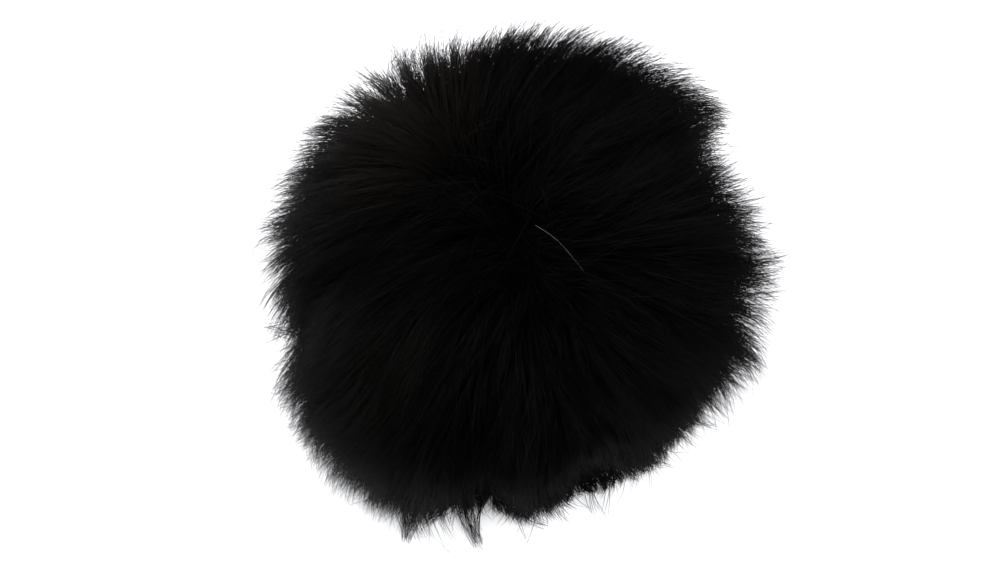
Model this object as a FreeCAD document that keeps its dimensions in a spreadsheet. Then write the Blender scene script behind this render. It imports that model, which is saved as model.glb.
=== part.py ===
"""Furry windscreen: a foam cup that a microphone plugs into, and a long-pile fur cover that lifts off it.

Millimetres, +Z up. The windscreen stands on its mouth: the origin is the centre of the mouth on the
surface it stands on, and +Z runs through the crown. Every ring and shell is turned about Z.
"""
import FreeCAD, Part
import Sketcher
import math
import os

Vector = FreeCAD.Vector

# ---------------------------------------------------------------- driving dimensions
GORE_NAMES = ["right", "back", "left", "front"]  # round Z from +X

SIZES = {
    # foam insert
    "bore_radius": 27.0,           # the microphone's head slides in here
    "straight_height": 41.5,       # the walls are straight up to here, then domed
    "scrim_thickness": 0.6,        # mesh that lines the cavity
    "foam_wall": 12.0,
    "glue_thickness": 0.5,         # adhesive between foam sleeve and foam dome
    "rim_tape_thickness": 0.8,     # woven tape bound round the mouth's edge
    "rim_tape_height": 10.0,
    # fur cover
    "slip_gap": 0.8,               # all round, between insert and cover
    "lining_thickness": 0.6,
    "pile_depth": 17.0,            # backing and fur together, where the cover is widest
    "mouth_tuck": 4.0,             # fur left outside the hem where the cover meets the surface
    "gore_count": len(GORE_NAMES),
    "channel_depth": 0.8,          # room for the stitches behind each gore seam
    "channel_half_angle": 1.7,     # degrees
    "hem_bottom": 2.0,             # height of the hem above the surface
    "hem_height": 11.0,
    "casing_cloth": 0.6,
    "elastic_width": 7.0,
    "elastic_thickness": 1.2,
    "elastic_play": 0.2,
    "elastic_lap_angle": 14.0,     # degrees of the band where its two ends are sewn together
    "patch_radius": 12.0,
    "patch_thickness": 0.6,
    # thread
    "thread_radius": 0.25,
    "stitch_length": 2.5,
    "stitch_pitch": 3.6,
    "stitch_inset": 1.6,           # from a tape's or panel's edge to its row of stitches
}

# sizes that follow from the driving ones
DERIVED = {
    "foam_inner": "bore_radius + scrim_thickness",
    "foam_outer": "foam_inner + foam_wall",
    "insert_outer": "foam_outer + rim_tape_thickness",
    "cover_bore": "insert_outer + slip_gap",
    "cover_shell": "cover_bore + lining_thickness",
    "channel_radius": "cover_shell + channel_depth",
    "pile_radius": "cover_shell + pile_depth",
    "tunnel_inner": "cover_bore + casing_cloth",
    "tunnel_outer": "tunnel_inner + 2 * elastic_thickness + 2 * elastic_play",
    "casing_outer": "tunnel_outer + casing_cloth",
    "mouth_radius": "casing_outer + mouth_tuck",
    "hem_top": "hem_bottom + hem_height",
    "elastic_bottom": "hem_bottom + casing_cloth + elastic_play",
    "elastic_inner": "tunnel_inner + elastic_play",
}

DOC = FreeCAD.newDocument("furry_windscreen")
SHEET = DOC.addObject("Spreadsheet::Sheet", "Sizes")


def fill_sheet():
    """Write the driving sizes as plain numbers and the derived ones as formulas, each under its alias."""
    rows = [(name, str(value)) for name, value in SIZES.items()]
    rows += [(name, "=" + formula) for name, formula in DERIVED.items()]
    for row, (name, text) in enumerate(rows, start=1):
        SHEET.set(f"A{row}", name)
        SHEET.set(f"B{row}", text)
        SHEET.setAlias(f"B{row}", name)
    DOC.recompute()


def bound(expression):
    """The same formula with every size read from the sheet, ready for setExpression."""
    names = sorted(list(SIZES) + list(DERIVED), key=len, reverse=True)
    words, word = [], ""
    for letter in expression + " ":
        if letter.isalnum() or letter == "_":
            word += letter
        else:
            words.append("Sizes." + word if word in names else word)
            words.append(letter)
            word = ""
    return "".join(words).strip()


def value(expression):
    return float(SHEET.evalExpression(bound(expression)))


# ---------------------------------------------------------------- sketching helpers
def origin_feature(body, role):
    return next(o for o in body.Origin.OriginFeatures if o.Role == role)


def new_body(label):
    body = DOC.addObject("PartDesign::Body", label)
    body.Label = label
    return body


def new_sketch(body, name):
    """A sketch on the body's own XZ plane: radius across, height up."""
    sketch = body.newObject("Sketcher::SketchObject", name)
    sketch.AttachmentSupport = [(origin_feature(body, "XZ_Plane"), "")]
    sketch.MapMode = "FlatFace"
    return sketch


def pin(sketch, kind, edge, point, expression):
    """Hold one coordinate of a sketch point at a formula of the sheet, or on the axis where it is 0."""
    if expression == "0":
        axis = -2 if kind == "DistanceX" else -1
        sketch.addConstraint(Sketcher.Constraint("PointOnObject", edge, point, axis))
        return
    row = sketch.addConstraint(Sketcher.Constraint(kind, -1, 1, edge, point, value(expression)))
    sketch.setExpression(f"Constraints[{row}]", bound(expression))


def draw_outline(sketch, corners):
    """A closed outline. A corner is (radius, height) or (radius, height, "arc"), an arc to the next
    corner whose centre is level with the top of the straight wall."""
    start, centre = 1, 3
    points = [Vector(value(c[0]), value(c[1]), 0) for c in corners]
    level = value("straight_height")
    for i, corner in enumerate(corners):
        a, b = points[i], points[(i + 1) % len(points)]
        if len(corner) == 2:
            sketch.addGeometry(Part.LineSegment(a, b))
            continue
        centre_x = (b.x**2 - a.x**2 + (b.y - level) ** 2 - (a.y - level) ** 2) / (2 * (b.x - a.x))
        middle = Vector(centre_x, level, 0)
        radius = (a - middle).Length
        half_way = ((a - middle).normalize() + (b - middle).normalize()).normalize()
        sketch.addGeometry(Part.Arc(a, middle + half_way * radius, b))
    join_corners(sketch, points)
    for i, corner in enumerate(corners):
        near = corner_end(sketch, i, points[i])
        pin(sketch, "DistanceX", i, near, corner[0])
        pin(sketch, "DistanceY", i, near, corner[1])
        if len(corner) == 3:
            pin(sketch, "DistanceY", i, centre, "straight_height")


def corner_end(sketch, edge, point):
    """Which end of an edge, 1 or 2, lies at the point: an arc is stored the way round that it turns."""
    return 1 if (sketch.getPoint(edge, 1) - point).Length < 1e-6 else 2


def join_corners(sketch, points):
    for i, point in enumerate(points):
        before = i - 1 if i else len(points) - 1
        sketch.addConstraint(
            Sketcher.Constraint(
                "Coincident", before, corner_end(sketch, before, point), i, corner_end(sketch, i, point)
            )
        )


def revolve(body, name, sketch, angle="360"):
    """Turn a sketch about Z, centred on the sketch's plane where it isn't a full turn."""
    turn = body.newObject("PartDesign::Revolution", name)
    turn.Profile = sketch
    turn.ReferenceAxis = (sketch, ["V_Axis"])
    turn.setExpression("Angle", bound(angle))
    turn.Midplane = angle != "360"
    sketch.Visibility = False
    return turn


def turned(label, corners, angle="360"):
    """One ring or shell with the given half-section."""
    body = new_body(label)
    sketch = new_sketch(body, label + "_section")
    draw_outline(sketch, corners)
    revolve(body, label + "_turn", sketch, angle)
    return body


def box_section(inner, outer, low, high):
    return [(inner, low), (outer, low), (outer, high), (inner, high)]


def dome_section(inner, outer):
    """Half of a hemispherical shell standing on the top of the straight wall."""
    return [
        (outer, "straight_height", "arc"),
        ("0", f"straight_height + {outer}"),
        ("0", f"straight_height + {inner}", "arc"),
        (inner, "straight_height"),
    ]


def stitch_ring(label, radius, height):
    """A row of stitches round Z. Each is a short curved run of thread, sunk in the cloth it holds."""
    body = new_body(label)
    sketch = new_sketch(body, label + "_section")
    at = Vector(value(radius), value(height), 0)
    sketch.addGeometry(Part.Circle(at, Vector(0, 0, 1), value("thread_radius")))
    pin(sketch, "DistanceX", 0, 3, radius)
    pin(sketch, "DistanceY", 0, 3, height)
    row = sketch.addConstraint(Sketcher.Constraint("Radius", 0, value("thread_radius")))
    sketch.setExpression(f"Constraints[{row}]", bound("thread_radius"))
    first = revolve(body, label + "_stitch", sketch, f"stitch_length / ({radius}) * 180 / pi")
    DOC.recompute()
    ring = body.newObject("PartDesign::PolarPattern", label + "_ring")
    ring.Originals = [first]
    ring.Axis = (origin_feature(body, "Z_Axis"), [""])
    ring.Angle = 360
    per_quarter = f"floor(pi / 2 * ({radius}) / stitch_pitch)"
    ring.setExpression("Occurrences", bound(f"4 * {per_quarter}"))
    body.Tip = ring
    return body


# ---------------------------------------------------------------- foam insert
def build_foam_insert():
    """The microphone's cup: foam sleeve and dome, lined with scrim, its mouth bound with tape."""
    turned(
        "foam_sleeve",
        box_section(
            "foam_inner", "foam_outer", "rim_tape_thickness", "straight_height - glue_thickness"
        ),
    )
    turned(
        "foam_glue_ring",
        box_section("foam_inner", "foam_outer", "straight_height - glue_thickness", "straight_height"),
    )
    turned("foam_dome", dome_section("foam_inner", "foam_outer"))
    turned("scrim_sleeve", box_section("bore_radius", "foam_inner", "rim_tape_height", "straight_height"))
    turned("scrim_dome", dome_section("bore_radius", "foam_inner"))
    stitch_ring("scrim_join_stitches", "bore_radius + scrim_thickness / 2", "straight_height")
    # the tape is folded up both sides of the mouth's edge, flush with the scrim inside
    turned(
        "rim_tape",
        [
            ("bore_radius", "0"),
            ("insert_outer", "0"),
            ("insert_outer", "rim_tape_height"),
            ("foam_outer", "rim_tape_height"),
            ("foam_outer", "rim_tape_thickness"),
            ("foam_inner", "rim_tape_thickness"),
            ("foam_inner", "rim_tape_height"),
            ("bore_radius", "rim_tape_height"),
        ],
    )
    row = "rim_tape_height - stitch_inset"
    stitch_ring("rim_stitches_outer", "foam_outer + rim_tape_thickness / 2", row)
    stitch_ring("rim_stitches_inner", "bore_radius + scrim_thickness / 2", row)


# ---------------------------------------------------------------- fur cover
def fur_gore(name, turn_angle):
    """One panel of fur: pile and backing as a solid that bulges from the mouth to a round crown.
    Its inner layer stops short of the seams, which leaves the channels that the stitches lie in."""
    body = new_body("fur_gore_" + name)
    pile = new_sketch(body, f"pile_section_{name}")
    draw_outline(
        pile,
        [
            ("casing_outer", "0"),
            ("mouth_radius", "0", "arc"),
            ("pile_radius", "straight_height", "arc"),
            ("0", "straight_height + pile_radius"),
            ("0", "straight_height + channel_radius", "arc"),
            ("channel_radius", "straight_height"),
            ("channel_radius", "hem_top"),
            ("casing_outer", "hem_top"),
        ],
    )
    revolve(body, f"pile_{name}", pile, "360 / gore_count")
    backing = new_sketch(body, f"backing_section_{name}")
    draw_outline(
        backing,
        [
            ("cover_shell", "hem_top"),
            ("channel_radius", "hem_top"),
            ("channel_radius", "straight_height", "arc"),
            ("0", "straight_height + channel_radius"),
            ("0", "straight_height + cover_shell", "arc"),
            ("cover_shell", "straight_height"),
        ],
    )
    revolve(body, f"backing_{name}", backing, "360 / gore_count - 2 * channel_half_angle")
    body.Placement = FreeCAD.Placement(Vector(), FreeCAD.Rotation(Vector(0, 0, 1), turn_angle))


def seam_stitch(distance, path_radius, heading):
    """One stitch, centred at a distance up the seam: first up the straight wall, then over the dome."""
    level, straight = value("straight_height"), value("straight_height - hem_top")
    rise = max(distance - straight, 0) / path_radius
    height = level - max(straight - distance, 0) + path_radius * math.sin(rise)
    along = Vector(-math.sin(rise), 0, math.cos(rise))
    middle = Vector(path_radius * math.cos(rise), 0, height)
    length = value("stitch_length")
    stitch = Part.makeCylinder(value("thread_radius"), length, middle - along * (length / 2), along)
    stitch.rotate(Vector(), Vector(0, 0, 1), heading)
    return stitch


def gore_seam_stitches(name, heading):
    """The row of stitches up one seam, in its channel, which narrows to nothing near the crown."""
    path_radius = value("cover_shell + channel_depth / 2")
    narrowest = 1.5 * value("thread_radius") / math.sin(math.radians(value("channel_half_angle")))
    dome_run = path_radius * math.acos(narrowest / path_radius)
    seam_length = value("straight_height - hem_top") + dome_run
    pitch = value("stitch_pitch")
    count = int((seam_length - value("stitch_length")) / pitch)
    places = [value("stitch_length") + pitch * i for i in range(count)]
    row = DOC.addObject("Part::Feature", "gore_seam_stitches_" + name)
    row.Label = "gore_seam_stitches_" + name
    row.Shape = Part.makeCompound([seam_stitch(s, path_radius, heading) for s in places])


def spherical_cap(label, outer, inner, cap_radius):
    """A thin cap of cloth under the crown, cut level where it reaches its own radius."""
    balls = []
    for side, radius in (("outer", outer), ("inner", inner)):
        ball = DOC.addObject("Part::Sphere", f"{label}_{side}")
        ball.setExpression("Radius", bound(radius))
        ball.setExpression("Placement.Base.z", bound("straight_height"))
        balls.append(ball)
    balls[0].setExpression("Angle1", bound(f"acos({cap_radius} / ({outer}))"))
    cap = DOC.addObject("Part::Cut", label)
    cap.Base, cap.Tool = balls
    cap.Label = label


def build_hem():
    """The mouth of the cover: a folded casing, open at the top, with the elastic band inside it."""
    turned(
        "hem_casing",
        [
            ("cover_bore", "hem_bottom"),
            ("casing_outer", "hem_bottom"),
            ("casing_outer", "hem_top"),
            ("tunnel_outer", "hem_top"),
            ("tunnel_outer", "hem_bottom + casing_cloth"),
            ("tunnel_inner", "hem_bottom + casing_cloth"),
            ("tunnel_inner", "hem_top"),
            ("cover_bore", "hem_top"),
        ],
    )
    row = "hem_top - stitch_inset"
    stitch_ring("casing_stitches_inner", "cover_bore + casing_cloth / 2", row)
    stitch_ring("casing_stitches_outer", "tunnel_outer + casing_cloth / 2", row)
    top = "elastic_bottom + elastic_width"
    turned(
        "elastic_band",
        box_section("elastic_inner", "elastic_inner + elastic_thickness", "elastic_bottom", top),
        "360 - elastic_lap_angle",
    )
    lap = turned(
        "elastic_lap",
        box_section("elastic_inner", "elastic_inner + 2 * elastic_thickness", "elastic_bottom", top),
        "elastic_lap_angle",
    )
    lap.Placement = FreeCAD.Placement(Vector(), FreeCAD.Rotation(Vector(0, 0, 1), 180))


def build_fur_cover():
    step = 360 / value("gore_count")
    for i, name in enumerate(GORE_NAMES):
        fur_gore(name, step * i)
        next_name = GORE_NAMES[(i + 1) % len(GORE_NAMES)]
        gore_seam_stitches(f"{name}_{next_name}", step * (i + 0.5))
    turned("lining_sleeve", box_section("cover_bore", "cover_shell", "hem_top", "straight_height"))
    turned("lining_dome", dome_section("cover_bore", "cover_shell"))
    stitch_ring("lining_join_stitches", "cover_bore + lining_thickness / 2", "straight_height")
    spherical_cap("crown_patch", "cover_bore", "cover_bore - patch_thickness", "patch_radius")
    middle = "(cover_bore - patch_thickness / 2)"
    row = "(patch_radius - stitch_inset)"
    stitch_ring("crown_patch_stitches", row, f"straight_height + sqrt({middle} ^ 2 - {row} ^ 2)")
    build_hem()


# ---------------------------------------------------------------- build, check, write
def sub_parts():
    """The objects that are pieces of the windscreen: bodies, plain shapes and the cut cap."""
    kinds = ("PartDesign::Body", "Part::Feature", "Part::Cut")
    return [o for o in DOC.Objects if o.TypeId in kinds]


def check_and_write():
    DOC.recompute()
    for o in DOC.Objects:
        bad = [s for s in o.State if s in ("Invalid", "Error")]
        if bad:
            raise RuntimeError(f"{o.Label}: {bad}")
    os.makedirs("parts", exist_ok=True)
    for o in sub_parts():
        if o.Shape.isNull() or not o.Shape.isValid():
            raise RuntimeError(f"{o.Label}: its shape is null or not valid")
        o.Shape.exportStep(f"parts/{o.Label}.step")
        print(f"{o.Label}: {len(o.Shape.Solids)} solid(s), {o.Shape.Volume:.0f} mm3")


fill_sheet()
build_foam_insert()
build_fur_cover()
check_and_write()
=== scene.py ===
"""Furry windscreen: a long-pile fur cover over a lined foam cup, standing on its mouth on a pale table."""

import math
import random

import bmesh
import bpy
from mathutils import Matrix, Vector, noise


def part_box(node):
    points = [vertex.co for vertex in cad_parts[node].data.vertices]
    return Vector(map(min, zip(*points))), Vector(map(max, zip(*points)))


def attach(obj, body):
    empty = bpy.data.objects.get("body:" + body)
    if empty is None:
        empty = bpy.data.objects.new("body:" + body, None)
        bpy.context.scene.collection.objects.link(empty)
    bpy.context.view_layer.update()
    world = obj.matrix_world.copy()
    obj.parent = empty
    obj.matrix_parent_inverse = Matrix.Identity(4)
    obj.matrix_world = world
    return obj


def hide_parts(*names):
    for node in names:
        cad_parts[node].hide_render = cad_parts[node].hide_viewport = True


bl_info = {
    "name": "Furry Windscreen",
    "version": (1, 0, 0),
    "blender": (4, 5, 0),
    "location": "View3D > Sidebar > Windscreen",
    "description": "Makes a fur windscreen cover, its foam insert and a plain stage",
    "category": "Add Mesh",
}

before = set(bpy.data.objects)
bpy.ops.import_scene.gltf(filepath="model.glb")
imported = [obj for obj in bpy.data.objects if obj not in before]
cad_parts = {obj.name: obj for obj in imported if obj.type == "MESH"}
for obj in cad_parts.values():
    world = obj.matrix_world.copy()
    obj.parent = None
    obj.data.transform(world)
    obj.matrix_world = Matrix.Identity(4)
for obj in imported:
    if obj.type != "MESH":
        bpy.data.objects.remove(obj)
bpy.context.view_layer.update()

GORES = {"right": 0, "back": 90, "left": 180, "front": 270}  # heading of each gore's middle, in degrees
MM = 0.001


# ---- sizes from the frame
def outer_radius(node):
    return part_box(node)[HIGH].x


LOW, HIGH = 0, 1
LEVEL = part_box("lining_dome")[LOW].z  # the walls are straight up to here, then domed
SHELL = outer_radius("lining_dome")  # outside of the lining, where the fur's backing starts
CLOTH = 0.6 * MM  # lining, scrim and casing cloth
COVER_BORE = SHELL - CLOTH
FOAM_OUTER = outer_radius("foam_dome")
FOAM_INNER = outer_radius("scrim_dome")
BORE = FOAM_INNER - CLOTH
TAPE_OUTER, TAPE_TOP = outer_radius("rim_tape"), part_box("rim_tape")[HIGH].z
TAPE = TAPE_OUTER - FOAM_OUTER  # thickness of the rim's binding
SAMPLE_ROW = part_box("casing_stitches_inner")
THREAD = SAMPLE_ROW[HIGH].z - SAMPLE_ROW[LOW].z
HEM_BOTTOM, HEM_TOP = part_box("hem_casing")[LOW].z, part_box("hem_casing")[HIGH].z
HEM_OUTER = outer_radius("hem_casing")
BACKING = 1.0 * MM  # thickness of the knitted backing
ROOTS = SHELL + BACKING  # radius that the fur grows from
HEM_ROOTS = HEM_OUTER + BACKING  # the same where the backing goes round the hem
HEM_SLOPE = 2 * MM  # how far above the hem the backing comes back in
TURN = 2 * math.pi


# ---- kinds of property
def a_length(name, description, default):
    return bpy.props.FloatProperty(name=name, description=description, default=default, unit="LENGTH")


def a_share(name, description, default):
    return bpy.props.FloatProperty(name=name, description=description, default=default)


def a_place(name, description, default):
    return bpy.props.FloatVectorProperty(name=name, description=description, default=default, unit="LENGTH")


def a_colour(name, description, default):
    return bpy.props.FloatVectorProperty(
        name=name, description=description, default=default, subtype="COLOR"
    )


# ---- node trees as formulas
def formula(operation, swapped=False, output=0):
    """A method that adds one node to a wire's tree: Math, or Vector Math where a term is a vector."""

    def method(self, *others):
        terms = (*others, self) if swapped else (self, *others)
        vector = any(isinstance(t, tuple) or isinstance(t, Wire) and t.is_vector for t in terms)
        node = self.tree.nodes.new("ShaderNodeVectorMath" if vector else "ShaderNodeMath")
        node.operation = operation
        for socket, term in zip(node.inputs, terms):
            self.tree.feed(socket, term)
        return Wire(self.tree, node.outputs[output])

    return method


class Wire:
    """A node's output that can be used in a formula."""

    def __init__(self, tree, socket):
        self.tree, self.socket = tree, socket
        self.is_vector = socket.type in ("VECTOR", "ROTATION")

    __add__, __radd__ = formula("ADD"), formula("ADD", swapped=True)
    __sub__, __rsub__ = formula("SUBTRACT"), formula("SUBTRACT", swapped=True)
    __mul__, __rmul__ = formula("MULTIPLY"), formula("MULTIPLY", swapped=True)
    __truediv__, __pow__ = formula("DIVIDE"), formula("POWER")
    at_least, at_most = formula("MAXIMUM"), formula("MINIMUM")
    over = formula("GREATER_THAN")  # 1 where this is greater than the other, else 0
    sine, exponent, unit = formula("SINE"), formula("EXPONENT"), formula("NORMALIZE")
    dot, size = formula("DOT_PRODUCT", output=1), formula("LENGTH", output=1)

    def along(self, other):
        """This vector without its part along the unit vector other."""
        return self - other * self.dot(other)

    def parts(self):
        node = self.tree.nodes.new("ShaderNodeSeparateXYZ")
        self.tree.feed(node.inputs[0], self)
        return [Wire(self.tree, s) for s in node.outputs]


class Tree:
    """A node tree, shader or geometry, that nodes are added to with their settings and inputs."""

    def __init__(self, node_tree):
        self.tree, self.nodes = node_tree, node_tree.nodes

    def feed(self, socket, value):
        """Link a wire or socket to an input, or set the input's value."""
        if isinstance(value, Wire):
            self.tree.links.new(value.socket, socket)
        elif isinstance(value, bpy.types.NodeSocket):
            self.tree.links.new(value, socket)
        elif socket.type == "VECTOR" and isinstance(value, (int, float)):
            socket.default_value = (value,) * 3
        else:
            socket.default_value = value

    def add(self, kind, settings=None, inputs=None):
        """A node of a kind; settings are set first, then its inputs by name or place."""
        node = self.nodes.new(kind)
        for name, setting in (settings or {}).items():
            setattr(node, name, setting)
        for name, value in (inputs or {}).items():
            self.feed(node.inputs[name], value)
        return node

    def out(self, kind, output=0, settings=None, inputs=None):
        """One output of a new node, as a wire."""
        return Wire(self, self.add(kind, settings, inputs).outputs[output])

    def step(self, kind, settings=None, **inputs):
        """The first output of a new node whose inputs' names are single words."""
        return self.add(kind, settings, inputs).outputs[0]

    def combine(self, x, y, z):
        return self.out("ShaderNodeCombineXYZ", inputs={0: x, 1: y, 2: z})


# ---- shaders
# the dark and light ends of each material's colour
TONES = {
    "open_cell_foam": ((0.006, 0.006, 0.007), (0.06, 0.06, 0.064)),
    "contact_adhesive": ((0.05, 0.04, 0.025), (0.16, 0.13, 0.08)),
    "knitted_lining": ((0.008, 0.008, 0.009), (0.05, 0.05, 0.054)),
    "scrim_mesh": ((0.004, 0.004, 0.004), (0.045, 0.045, 0.048)),
    "casing_cloth": ((0.006, 0.006, 0.007), (0.03, 0.03, 0.033)),
    "ribbed_tape": ((0.005, 0.005, 0.006), (0.035, 0.035, 0.038)),
    "braided_elastic": ((0.01, 0.01, 0.011), (0.045, 0.045, 0.048)),
    "sewing_thread": ((0.012, 0.012, 0.013), (0.07, 0.07, 0.073)),
    "fur_backing": ((0.0003, 0.0003, 0.0003), (0.001, 0.001, 0.001)),
    # the pale hair's tones are a painted highlight streak across the dark pile
    "painted_highlight_hair": ((0.004, 0.004, 0.0036), (0.06, 0.056, 0.05)),
}


def new_material(name):
    """An empty Principled material: its tree, and the shader node."""
    material = bpy.data.materials.new(name)
    material.use_nodes = True
    material.node_tree.nodes.clear()
    tree = Tree(material.node_tree)
    shader = tree.add("ShaderNodeBsdfPrincipled")
    tree.add("ShaderNodeOutputMaterial", inputs={"Surface": shader.outputs[0]})
    return material, tree, shader


def colour_mix(tree, amount, first, second):
    node = tree.add("ShaderNodeMix", {"data_type": "RGBA"})
    for socket, value in ((node.inputs[0], amount), (node.inputs[6], first), (node.inputs[7], second)):
        tree.feed(socket, value)
    return node.outputs[2]


def attribute(tree, name):
    return Wire(tree, tree.add("ShaderNodeAttribute", {"attribute_name": name}).outputs["Fac"])


def tone_mix(tree, name, amount):
    dark, light = TONES[name]
    return colour_mix(tree, amount, (*dark, 1), (*light, 1))


def texture(tree, kind, output=0, **inputs):
    """A texture at the piece's own place, in metres, as a wire."""
    place = tree.out("ShaderNodeTexCoord", "Object")
    values = {name.replace("_", " "): value for name, value in inputs.items()}
    return tree.out(kind, output, inputs={"Vector": place, **values})


def relief(tree, shader, height, depth):
    """Raise and sink the surface by a pattern, in the shading only."""
    bump = tree.add("ShaderNodeBump", inputs={"Strength": 1.0, "Distance": depth, "Height": height})
    tree.feed(shader.inputs["Normal"], bump.outputs[0])


def patterned(name, pattern, roughness, depth=0.0):
    """A material coloured by a pattern, between its two tones. pattern takes the tree, and gives the
    shade and the height, each from 0 to 1."""
    material, tree, shader = new_material(name)
    shade, height = pattern(tree)
    tree.feed(shader.inputs["Base Color"], tone_mix(tree, name, shade))
    shader.inputs["Roughness"].default_value = roughness
    if depth:
        relief(tree, shader, height, depth)
    return material


def cloth_material(name, across, along, depth, sheen=0.15):
    """Woven or knitted cloth: threads at two pitches along the piece's own UV map, unevenly worn paler."""

    def loops_and_fading(tree):
        u, v, _ = tree.out("ShaderNodeUVMap").parts()
        loops = ((u * (TURN / across)).sine() + 1) * ((v * (TURN / along)).sine() + 1) * 0.25
        fading_and_painted_highlight = texture(tree, "ShaderNodeTexNoise", Scale=60.0, Detail=3.0)
        return loops * 0.6 + fading_and_painted_highlight * 0.4, loops

    material = patterned(name, loops_and_fading, 0.85, depth)
    shader = next(n for n in material.node_tree.nodes if n.type == "BSDF_PRINCIPLED")
    shader.inputs["Specular IOR Level"].default_value = 2 * sheen
    shader.inputs["Sheen Weight"].default_value = sheen
    return material


def pores(tree):
    """Open-cell foam: dark pores between paler walls, each about half a millimetre across."""
    walls = (texture(tree, "ShaderNodeTexVoronoi", "Distance", Scale=1500.0) * 1.3).at_most(1)
    mottle = texture(tree, "ShaderNodeTexNoise", Scale=120.0, Detail=4.0)
    return walls * 0.75 + mottle * 0.25, walls


def twist(tree):
    """Spun thread, twisted along its length."""
    strands = texture(tree, "ShaderNodeTexNoise", Scale=2500.0, Detail=2.0, Distortion=1.0)
    return strands, strands


def ribs(tree):
    """Braided elastic: ribs run round the band, with covered rubber cores between them."""
    _, _, height = tree.out("ShaderNodeTexCoord", "Object").parts()
    waves = (height * (TURN / (0.9 * MM))).sine() * 0.5 + 0.5
    return waves, waves


def dried(tree):
    """Contact adhesive, dried uneven."""
    uneven = texture(tree, "ShaderNodeTexNoise", Scale=400.0, Detail=3.0)
    return uneven, uneven


def mottled(tree):
    """A single hair, paler in places; its pale colour is a painted highlight streak."""
    uneven = texture(tree, "ShaderNodeTexNoise", Scale=300.0)
    return uneven, uneven


def fur_material(settings):
    """Black synthetic fur: each hair its own tone, darker towards its root as painted shade, with a patch
    of painted warm highlight mixed in, and hardly any gloss.
    """
    material, tree, shader = new_material("fur_fibre")
    # painted shade: each hair's colour darkens towards its root, where the pile around it shades it
    root_shaded_tone = attribute(tree, "tone") * (attribute(tree, "along") * 0.8 + 0.2)
    plain = colour_mix(tree, root_shaded_tone, (*settings.dark, 1), (*settings.light, 1))
    # painted warm highlight: a lighter brownish patch of hair, where light falls on the pile, is mixed into
    # the colour
    painted_warm_highlight = colour_mix(tree, attribute(tree, "painted_warm_highlight"), plain, (*settings.painted_warm_highlight, 1))
    tree.feed(shader.inputs["Base Color"], painted_warm_highlight)
    shader.inputs["Roughness"].default_value = 0.42
    shader.inputs["Specular IOR Level"].default_value = 0.02
    return material


# ---- pieces
def add_object(name, data):
    piece = bpy.data.objects.new(name, data)
    bpy.context.scene.collection.objects.link(piece)
    return piece


def built_object(name, mesh):
    """An object made of a finished bmesh, which is then freed."""
    data = bpy.data.meshes.new(name)
    mesh.to_mesh(data)
    mesh.free()
    return add_object(name, data)


def polar(angle, radius, height):
    return radius * math.cos(angle), radius * math.sin(angle), height


def baked_nodes(piece, group, values, name):
    """Run a geometry tree on a piece, and give back its result as a plain mesh object."""
    modifier = piece.modifiers.new("nodes", "NODES")
    modifier.node_group = group
    sockets = {s.name: s.identifier for s in group.interface.items_tree if s.in_out == "INPUT"}
    for label, value in values.items():
        modifier[sockets[label]] = value
    bpy.context.view_layer.update()
    graph = bpy.context.evaluated_depsgraph_get()
    mesh = bpy.data.meshes.new_from_object(piece.evaluated_get(graph))
    mesh.name = name
    base = piece.data
    bpy.data.objects.remove(piece)
    bpy.data.meshes.remove(base)
    return add_object(name, mesh)


SHARPEST = math.radians(50)  # edges that turn more than this stay sharp


def turned(name, profile, material, segments, shape=None):
    """A closed ring or shell: a profile of (radius, height) points turned about Z, with a UV map in
    metres. shape moves each point by its heading: (angle, radius, height) to (radius, height)."""
    mesh = bmesh.new()
    layer = mesh.loops.layers.uv.new("UVMap")
    steps = [math.dist(a, b) for a, b in zip(profile, profile[1:] + profile[:1])]
    run = [sum(steps[:i]) for i in range(len(steps) + 1)]
    widest = max(r for r, _ in profile)
    rings = []
    for i in range(segments):
        angle = TURN * i / segments
        ring = []
        for radius, height in profile:
            if shape and radius:
                radius, height = shape(angle, radius, height)
            ring.append(mesh.verts.new(polar(angle, radius, height)))
        rings.append(ring)
    for i, ring in enumerate(rings):
        after = rings[(i + 1) % segments]
        for j in range(len(profile)):
            k = (j + 1) % len(profile)
            if profile[j][0] == profile[k][0] == 0:
                continue
            face = mesh.faces.new((ring[j], after[j], after[k], ring[k]))
            around = [i, i + 1, i + 1, i]
            along = [run[j], run[j], run[j + 1], run[j + 1]]
            for loop, a, d in zip(face.loops, around, along):
                loop[layer].uv = (a * TURN * widest / segments, d)
            face.smooth = True
    bmesh.ops.remove_doubles(mesh, verts=mesh.verts, dist=1e-7)
    bmesh.ops.recalc_face_normals(mesh, faces=mesh.faces)
    piece = built_object(name, mesh)
    piece.data.materials.append(material)
    piece.data.set_sharp_from_angle(angle=SHARPEST)
    return piece


def wall_profile(inner, outer, low, high, step=1.5 * MM, edge=0.0):
    """A straight wall's closed section, divided finely, with its corners taken off by edge."""
    corners = [
        (inner + edge, low), (outer - edge, low), (outer, low + edge), (outer, high - edge),
        (outer - edge, high), (inner + edge, high), (inner, high - edge), (inner, low + edge),
    ]
    return divided([c for i, c in enumerate(corners) if edge or i % 2 == 0], step)


def divided(corners, step):
    points = []
    for a, b in zip(corners, corners[1:] + corners[:1]):
        count = max(1, round(math.dist(a, b) / step))
        along, up = (b[0] - a[0]) / count, (b[1] - a[1]) / count
        points += [(a[0] + along * i, a[1] + up * i) for i in range(count)]
    return points


def dome_profile(inner, outer, steps, start=0.0):
    """A domed shell's closed section, from an angle above the level of its centre to the crown."""
    angles = [start + (math.pi / 2 - start) * i / steps for i in range(steps + 1)]
    out = [(outer * math.cos(a), LEVEL + outer * math.sin(a)) for a in angles]
    back = [(inner * math.cos(a), LEVEL + inner * math.sin(a)) for a in reversed(angles)]
    return [(0 if r < 1e-9 else r, z) for r, z in out + back]


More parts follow.
